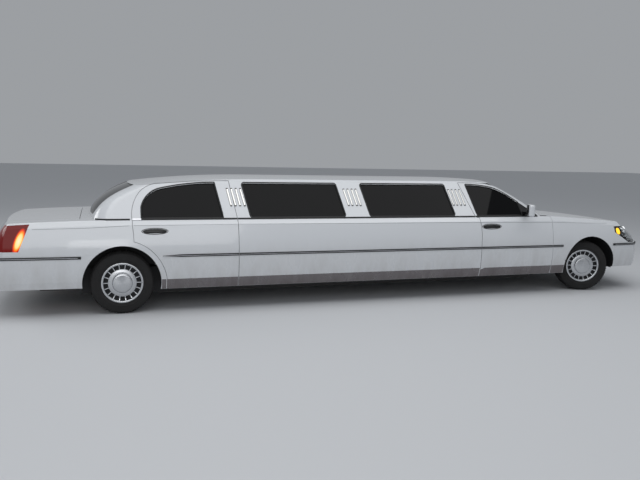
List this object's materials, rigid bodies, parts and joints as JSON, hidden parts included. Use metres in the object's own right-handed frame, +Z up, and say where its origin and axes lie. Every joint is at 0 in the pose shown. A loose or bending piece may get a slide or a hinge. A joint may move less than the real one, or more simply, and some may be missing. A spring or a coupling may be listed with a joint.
{
  "type": "stretch limousine",
  "caption": "White stretch limousine: a full-size saloon lengthened behind the front doors, with doors, hood and boot lid that open, wheels that roll and front wheels that steer.",
  "frame": {"origin": "on the ground, midway along the car and on its centre plane", "axes": "+X forward to the grille, +Y to the car's left, +Z up"},
  "size_m": [8.5026, 2.2962, 1.4748],
  "materials": {
    "white_paint": "gloss",
    "chrome_trim": "polished",
    "tinted_glass": "polished",
    "clear_glass": "polished",
    "lamp_clear": "polished",
    "lamp_red": "polished",
    "underbody_black": "matte",
    "cast_metal": "rough",
    "steel_pipe": "satin",
    "tyre_rubber": "matte",
    "wheel_cover": "polished",
    "liner_plastic": "matte",
    "cabin_leather": "satin",
    "cabin_plastic": "matte"
  },
  "bodies": {
    "body": {"chassis_frame": "underbody_black", "floor_pan": "underbody_black", "engine_block": "cast_metal", "driveline": "cast_metal", "rear_axle": "cast_metal", "front_suspension": "cast_metal", "exhaust": "steel_pipe", "wheel_houses": "liner_plastic", "front_fenders": "white_paint", "rear_body": "white_paint", "stretch_side_panels": "white_paint", "roof_panel": "white_paint", "windscreen_frame": "white_paint", "windscreen": "clear_glass", "rear_window": "tinted_glass", "stretch_side_glass": "tinted_glass", "front_bumper": "white_paint", "rear_bumper": "white_paint", "grille": "chrome_trim", "headlamps": "lamp_clear", "tail_lamps": "lamp_red", "dashboard": "cabin_plastic", "front_seat": "cabin_leather", "rear_seat": "cabin_leather", "side_bench": "cabin_leather", "partition": "cabin_plastic"},
    "hood_body": {"hood": "white_paint"},
    "boot_lid_body": {"boot_lid": "white_paint"},
    "front_door_right_body": {"front_door_right": "white_paint", "front_door_glass_right": "tinted_glass"},
    "front_wheel_right_body": {"front_tyre_right": "tyre_rubber", "front_wheel_right": "wheel_cover"},
    "rear_door_right_body": {"rear_door_right": "white_paint", "rear_door_glass_right": "tinted_glass"},
    "rear_wheel_right_body": {"rear_tyre_right": "tyre_rubber", "rear_wheel_right": "wheel_cover"},
    "front_knuckle_right_body": {"front_knuckle_right": "cast_metal"},
    "front_door_left_body": {"front_door_left": "white_paint", "front_door_glass_left": "tinted_glass"},
    "front_wheel_left_body": {"front_tyre_left": "tyre_rubber", "front_wheel_left": "wheel_cover"},
    "rear_door_left_body": {"rear_door_left": "white_paint", "rear_door_glass_left": "tinted_glass"},
    "rear_wheel_left_body": {"rear_tyre_left": "tyre_rubber", "rear_wheel_left": "wheel_cover"},
    "front_knuckle_left_body": {"front_knuckle_left": "cast_metal"}
  },
  "joints": [
    {"name": "front_door_right_hinge", "type": "hinge", "parent": "body", "child": "front_door_right_body", "pos_m": [2.5465, -0.995, 0.6], "axis": [0, 0, 1], "range_deg": [0, 65]},
    {"name": "rear_door_right_hinge", "type": "hinge", "parent": "body", "child": "rear_door_right_body", "pos_m": [-1.6215, -0.995, 0.6], "axis": [0, 0, 1], "range_deg": [0, 65]},
    {"name": "front_door_left_hinge", "type": "hinge", "parent": "body", "child": "front_door_left_body", "pos_m": [2.5465, 0.995, 0.6], "axis": [0, 0, -1], "range_deg": [0, 65]},
    {"name": "rear_door_left_hinge", "type": "hinge", "parent": "body", "child": "rear_door_left_body", "pos_m": [-1.6215, 0.995, 0.6], "axis": [0, 0, -1], "range_deg": [0, 65]},
    {"name": "steer_right", "type": "hinge", "parent": "body", "child": "front_knuckle_right_body", "pos_m": [3.1635, -0.743, 0.338], "axis": [0, 0, 1], "range_deg": [-14, 50]},
    {"name": "steer_left", "type": "hinge", "parent": "body", "child": "front_knuckle_left_body", "pos_m": [3.1635, 0.743, 0.338], "axis": [0, 0, 1], "range_deg": [-14, 50]},
    {"name": "front_wheel_right_spin", "type": "hinge", "parent": "front_knuckle_right_body", "child": "front_wheel_right_body", "pos_m": [3.14434, -0.80197, 0.338], "axis": [0.309, 0.9511, 0], "continuous": true},
    {"name": "rear_wheel_right_spin", "type": "hinge", "parent": "body", "child": "rear_wheel_right_body", "pos_m": [-2.8745, -0.8295, 0.338], "axis": [0, 1, 0], "continuous": true},
    {"name": "front_wheel_left_spin", "type": "hinge", "parent": "front_knuckle_left_body", "child": "front_wheel_left_body", "pos_m": [3.18266, 0.80197, 0.338], "axis": [0.309, 0.9511, 0], "continuous": true},
    {"name": "rear_wheel_left_spin", "type": "hinge", "parent": "body", "child": "rear_wheel_left_body", "pos_m": [-2.8745, 0.8295, 0.338], "axis": [0, 1, 0], "continuous": true},
    {"name": "hood_hinge", "type": "hinge", "parent": "body", "child": "hood_body", "pos_m": [2.6085, 0, 1.043], "axis": [0, -1, 0], "range_deg": [0, 50]},
    {"name": "boot_lid_hinge", "type": "hinge", "parent": "body", "child": "boot_lid_body", "pos_m": [-3.2995, 0, 1.0285], "axis": [0, 1, 0], "range_deg": [0, 60]}
  ],
  "couplings": [
    {"joint": "steer_left", "follows": "steer_right", "ratio": 1}
  ]
}
